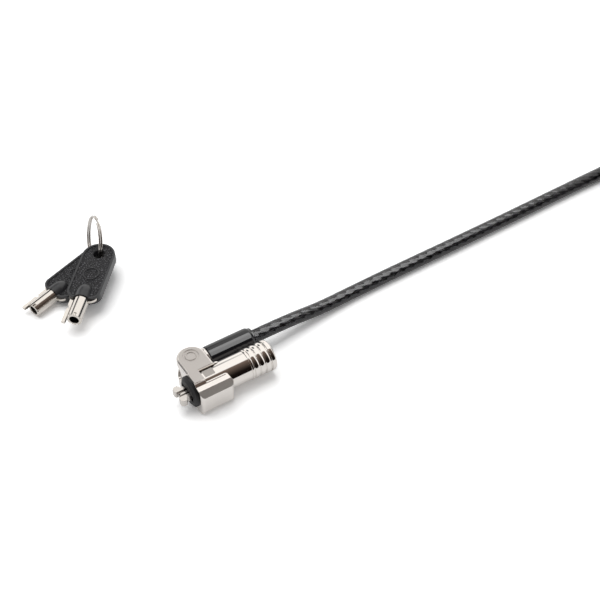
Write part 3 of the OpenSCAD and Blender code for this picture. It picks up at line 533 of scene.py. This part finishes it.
# Bright nickel over polished brass mirrors the room. The milled floor of the recess stays dull.
bright_nickel = plated_metal("bright_nickel_plate", "#E5E0DB", 0.06, 1.2, 0.0008, 0.02)[0]
milled_nickel = plated_metal("milled_nickel", "#A9A4A0", 0.35, 0.2, 0.004)[0]
barrel = eased_copy("barrel", "barrel_tube", 0.05 * MM, bright_nickel)
barrel.data.materials.append(milled_nickel)
for face in barrel.data.polygons:
    if abs(face.center.z - INDEX_FLOOR_Z) < 0.05 * MM and face.normal.z > 0.99:
        face.material_index = 1


# ---------------------------------------------------------------- nose cap
# Black glass-filled nylon, injection moulded with a fine spark-eroded grain, so it is matt. It is pressed
# into the barrel's nose, and the hooks come out of its slot.
def moulded_plastic(name, colour, rough, grain_mm, relief_mm):
    """A moulded plastic with a fine grain of some size and height."""
    made, tree, output = new_material(name)
    place = node(tree, "ShaderNodeTexCoord").outputs["Object"]
    grain = node(tree, "ShaderNodeTexNoise",
                 {"Vector": place, "Scale": 1 / (grain_mm * MM), "Detail": 3.0, "Roughness": 0.6})
    relief = node(tree, "ShaderNodeBump",
                  {"Height": grain.outputs["Fac"], "Distance": relief_mm * MM, "Strength": 1.0})
    shader = node(tree, "ShaderNodeBsdfPrincipled",
                  {"Base Color": linear(colour), "Roughness": rough, "IOR": 1.5,
                   "Normal": relief.outputs["Normal"]})
    tree.links.new(shader.outputs[0], output.inputs["Surface"])
    return made


grained_nylon = moulded_plastic("black_nylon_spark_grain", "#19191A", 0.55, 0.25, 0.03)
eased_copy("nose_cap", "nose_cap_moulding", 0.12 * MM, grained_nylon)


# ---------------------------------------------------------------- hooks and tongue
# Sintered steel, tumbled and nickel plated, so it has soft edges and a slight tooth: two hooks that fold
# on their pins, and the fixed tongue between them, keyed into the cap.
TUMBLED_EDGE = 0.07 * MM
sintered_steel = plated_metal("sintered_steel", "#D0CBC6", 0.24, 0.3, 0.006)[0]
eased_copy("hook_left", "hook_left_blade", TUMBLED_EDGE, sintered_steel)
eased_copy("hook_right", "hook_right_blade", TUMBLED_EDGE, sintered_steel)
eased_copy("centre_tongue", "tongue_blade", TUMBLED_EDGE, sintered_steel)


# ---------------------------------------------------------------- lock case and plug
# Turned free-cutting steel, bright plated: the case with the ring-shaped keyway, and the plug whose
# spindle reaches the cam between the hooks. The lathe tool leaves fine rings round the barrel's axis.
BARREL_AXIS_Z = 7.1
TOOL_FEED = 0.12 * MM
turned_steel, tree, shader = plated_metal("turned_steel", "#C4C0BB", 0.20, 0.4, 0.002)
place = node(tree, "ShaderNodeTexCoord").outputs["Object"]
centred = node(tree, "ShaderNodeMapping", {"Vector": place, "Location": (0, 0, -BARREL_AXIS_Z * MM)})
radial = node(tree, "ShaderNodeVectorMath", {0: centred.outputs[0], 1: (0, 1, 1)}, operation="MULTIPLY")
radius = node(tree, "ShaderNodeVectorMath", {0: radial.outputs[0]}, operation="LENGTH")
feed = node(tree, "ShaderNodeMath", {0: radius.outputs["Value"], 1: math.tau / TOOL_FEED},
            operation="MULTIPLY")
marks = node(tree, "ShaderNodeMath", {0: feed.outputs[0]}, operation="SINE")
mark_relief = node(tree, "ShaderNodeBump",
                   {"Height": marks.outputs[0], "Distance": 0.002 * MM, "Strength": 0.6})
tree.links.new(mark_relief.outputs["Normal"], shader.inputs["Normal"])
eased_copy("lock_case", "lock_case_shell", 0.08 * MM, turned_steel)
eased_copy("plug", "plug_core", 0.05 * MM, turned_steel)


# ---------------------------------------------------------------- pins, springs and clip
# Turned brass driver pins and key pins slide in the seven chambers of a brass block, with a coiled spring
# behind each pair. The hooks' pins, the cross pin and the plug's clip are steel.

# Turned brass is warm and fairly bright. Ground steel is satin, and darker than the plated pieces.
turned_brass = plated_metal("turned_brass", "#D9B36A", 0.24, 0.3, 0.003)[0]
ground_steel = plated_metal("ground_steel", "#A3A2A2", 0.26, 0.3, 0.003)[0]
for name, finish in (("pin_block", turned_brass), ("driver_pins", turned_brass), ("key_pins", turned_brass),
                     ("hook_pins", ground_steel), ("retaining_pin", ground_steel),
                     ("plug_clip", ground_steel)):
    frame["nodes"][name].data.materials.clear()
    frame["nodes"][name].data.materials.append(finish)

PIN_COUNT = 7
PIN_CIRCLE_R = 2.55
SPRING_START_X = 6.71
SPRING_END_X = 10.64
SPRING_WIRE_R = 0.07
SPRING_MEAN_R = 0.33
SPRING_PITCH = 0.45
spring_points = []
for pin in range(PIN_COUNT):
    turn = math.pi + math.tau * pin / PIN_COUNT
    for x in (SPRING_START_X + SPRING_WIRE_R, SPRING_END_X - SPRING_WIRE_R):
        spring_points.append(Vector((x, PIN_CIRCLE_R * math.sin(turn),
                                     BARREL_AXIS_Z - PIN_CIRCLE_R * math.cos(turn))) * MM)
spring_edges = [(2 * pin, 2 * pin + 1) for pin in range(PIN_COUNT)]
springs = grown("pin_spring_coils", spring_points, spring_edges, laid_rope, {
    "Strands": 1, "Strand radius": SPRING_WIRE_R * MM, "Offset": SPRING_MEAN_R * MM, "Lay": SPRING_PITCH * MM,
    "Step": 0.03 * MM, "Sides": 6, "Finish": ground_steel})
fitted(springs, "pin_springs")


# ---------------------------------------------------------------- cable end
# The cable's swaged steel end turns in the boss. A plated washer and a glossy moulded sleeve cover the
# place where the sheath begins.
eased_copy("cable_stop", "cable_stop_end", 0.08 * MM, ground_steel)
eased_copy("swivel_ring", "swivel_washer", 0.05 * MM, bright_nickel)

# Gloss black PVC from a polished mould, with the faintest waviness in its shine.
glossy_sleeve = moulded_plastic("gloss_black_pvc", "#0C0C0E", 0.08, 0.9, 0.0012)
sleeve = eased_copy("strain_relief", "sleeve_moulding", 0.10 * MM, glossy_sleeve)


# ---------------------------------------------------------------- crimp
# An aluminium ferrule, pressed flat over both strands of the anchor loop, so its edges are round and its
# skin is dull.
pressed_aluminium = plated_metal("pressed_aluminium", "#C9C9CC", 0.34, 0.35, 0.006)[0]
ferrule = eased_copy("crimp_sleeve", "crimp_ferrule", 0.4 * MM, pressed_aluminium)


# ---------------------------------------------------------------- keys
# Each key is a nickel plated steel tube with a flat tang, moulded into a black ABS bow. The bow's field
# is sunk and grained like leather inside a plain rim, and a round neck fairs the tube into it.

# Nickel over drawn tube mirrors the room, a little softer than over the polished barrel.
drawn_nickel = plated_metal("drawn_nickel_tube", "#DCD6CF", 0.12, 0.5, 0.0015)[0]
for number in (1, 2):
    eased_copy("key_%d_blade" % number, "key_%d_tube" % number, 0.06 * MM, drawn_nickel)

# Leather-grained ABS: dull pebbles a millimetre across between wandering grooves, with painted shade in the
# grooves and painted highlights on the pebbles.
GRAIN_CELL = 1.0 * MM
GRAIN_RELIEF = 0.45 * MM
leather_grain, tree, output = new_material("leather_grained_abs")
place = node(tree, "ShaderNodeTexCoord").outputs["Object"]
wander = node(tree, "ShaderNodeTexNoise", {"Vector": place, "Scale": 1 / (1.5 * MM), "Detail": 2.0})
drift = node(tree, "ShaderNodeVectorMath", {0: wander.outputs["Color"], "Scale": 0.5 * MM}, operation="SCALE")
bent = node(tree, "ShaderNodeVectorMath", {0: place, 1: drift.outputs[0]}, operation="ADD")
cells = node(tree, "ShaderNodeTexVoronoi", {"Vector": bent.outputs[0], "Scale": 1 / GRAIN_CELL},
             feature="DISTANCE_TO_EDGE")
pebble = node(tree, "ShaderNodeMapRange",
              {"Value": cells.outputs["Distance"], "From Min": 0.0, "From Max": 0.30},
              interpolation_type="SMOOTHSTEP")
relief = node(tree, "ShaderNodeBump",
              {"Height": pebble.outputs["Result"], "Distance": GRAIN_RELIEF, "Strength": 1.0})
shine = node(tree, "ShaderNodeMapRange", {"Value": pebble.outputs["Result"], "To Min": 0.62, "To Max": 0.40})
# Painted shade and highlight: the colour runs from dark in the grooves to lighter on the pebble tops.
painted_groove_shade_and_pebble_highlight = node(tree, "ShaderNodeMix",
                   {"Factor": pebble.outputs["Result"], "A": linear("#1A1A1C"), "B": linear("#48484B")},
                   data_type="RGBA")
shader = node(tree, "ShaderNodeBsdfPrincipled",
              {"Base Color": painted_groove_shade_and_pebble_highlight.outputs["Result"], "Roughness": shine.outputs["Result"], "IOR": 1.53,
               "Normal": relief.outputs["Normal"]})
tree.links.new(shader.outputs[0], output.inputs["Surface"])

# The rim, the sides and the neck are plain moulded ABS, with a soft shine.
smooth_abs = moulded_plastic("smooth_black_abs", "#303032", 0.30, 0.3, 0.004)

# In a key's own frame X runs from its tip to its ring hole, which is the origin, and Z stands on its
# flat side. The field lies this far above and below the middle.
FIELD_Z = 1.55 * MM
GRAINED, SMOOTH = 0, 1
NECK_START = -22.1
NECK_LENGTH = 4.6
NECK_R = 3.62
NECK_LOW = 1.5
NECK_STEPS = 16
NECK_SIDES = 32
KEYS_HEADING = 17
KEYS_TILT = -3.6
UPPER_KEY_FAN = 30
LOWER_HOLE = Vector((-4.55, 85.87, 5.4)) * MM
fan = next(joint for joint in frame["record"]["behaviour"]["joints"] if joint["name"] == "key_fan")
upper_hole = Vector(fan["pos_m"])
lower_turn = (Matrix.Rotation(math.radians(KEYS_HEADING), 3, "Z")
              @ Matrix.Rotation(math.radians(KEYS_TILT), 3, "Y"))
upper_turn = lower_turn @ Matrix.Rotation(math.radians(UPPER_KEY_FAN), 3, "Z")
for number, hole, turned in ((1, LOWER_HOLE, lower_turn), (2, upper_hole, upper_turn)):
    bow = eased_copy("key_%d_bow" % number, "key_%d_grip" % number, 0.12 * MM, leather_grain)
    bow.data.materials.append(smooth_abs)
    upright = turned @ UPWARD
    for face in bow.data.polygons:
        height = abs((face.center - hole).dot(upright))
        level = abs(face.normal.dot(upright)) > 0.9
        face.material_index = GRAINED if level and abs(height - FIELD_Z) < 0.1 * MM else SMOOTH

    # The neck is as round as the tube at its root, and level with the field at its far end.
    shape = bmesh.new()
    shape.from_mesh(bow.data)
    rings = []
    for step in range(NECK_STEPS + 1):
        share = step / NECK_STEPS
        fall = math.sqrt(1 - share * share)
        rise = NECK_LOW + (NECK_R - NECK_LOW) * fall
        half_w = NECK_R * (0.3 + 0.7 * fall)
        x = NECK_START + share * NECK_LENGTH
        ring = []
        for side in range(NECK_SIDES):
            angle = math.tau * side / NECK_SIDES
            spot = Vector((x, half_w * math.cos(angle), rise * math.sin(angle))) * MM
            ring.append(shape.verts.new(turned @ spot + hole))
        rings.append(ring)
    new_faces = [shape.faces.new((a[i - 1], a[i], b[i], b[i - 1]))
                 for a, b in zip(rings, rings[1:]) for i in range(NECK_SIDES)]
    new_faces += [shape.faces.new(rings[0][::-1]), shape.faces.new(rings[-1])]
    bmesh.ops.recalc_face_normals(shape, faces=new_faces)
    for face in new_faces:
        face.smooth = len(face.verts) == 4
        face.material_index = SMOOTH
    shape.to_mesh(bow.data)
    shape.free()


# ---------------------------------------------------------------- key ring
# Hard drawn steel wire, nickel plated, wound in two flat turns with one short step between them. It
# stands on its edge through the holes of both bows, and leans a little.
RING_MID_R = 9.8
RING_WIRE_R = 0.4
RING_HALF_STEP = 0.44
RING_PLACE = Vector((-1.61, 93.35, 10.199))
RING_HEADING = 77.3
RING_LEAN = 14.1
RING_END_GAP = 8
RING_STEP_ARC = 40
RING_STEPS = 240
ring_turn = (Matrix.Rotation(math.radians(RING_HEADING), 3, "Z")
             @ Matrix.Rotation(math.radians(90 + RING_LEAN), 3, "X"))
ring_line = []
for i in range(RING_STEPS + 1):
    angle = RING_END_GAP + i * (720 - 2 * RING_END_GAP) / RING_STEPS
    rise = min(max((angle - 360) / RING_STEP_ARC + 0.5, 0), 1)
    side = RING_HALF_STEP * (2 * rise * rise * (3 - 2 * rise) - 1)
    turn = math.radians(angle + 90)
    flat = Vector((RING_MID_R * math.cos(turn), RING_MID_R * math.sin(turn), side))
    ring_line.append((ring_turn @ flat + RING_PLACE) * MM)

# Nickel plated wire: bright, and a little hazed by drawing and coiling.
spring_wire = plated_metal("nickel_spring_wire", "#D2CDC8", 0.16, 0.4, 0.002)[0]
key_ring = grown("key_ring_wire", ring_line, [(i, i + 1) for i in range(RING_STEPS)], laid_rope, {
    "Strands": 1, "Strand radius": RING_WIRE_R * MM, "Offset": 0.0, "Lay": 1.0, "Step": 0.35 * MM,
    "Sides": 16, "Finish": spring_wire})
fitted(key_ring, "key_ring")


# ---------------------------------------------------------------- lamp for the black pieces
# A second broad lamp hangs overhead, facing down. It lights the glossy sleeve and the sheath alone, as a
# studio flag would have it, so that their gloss shows and the plated metal keeps its dark side.
overhead = square_lamp("overhead_lamp", (0.22, -0.08, 0.5), (0.22, -0.08, 0), 0.58, 4.8)
glossy_blacks = bpy.data.collections.new("glossy_blacks")
for piece in (sleeve, sheath):
    glossy_blacks.objects.link(piece)
overhead.light_linking.receiver_collection = glossy_blacks
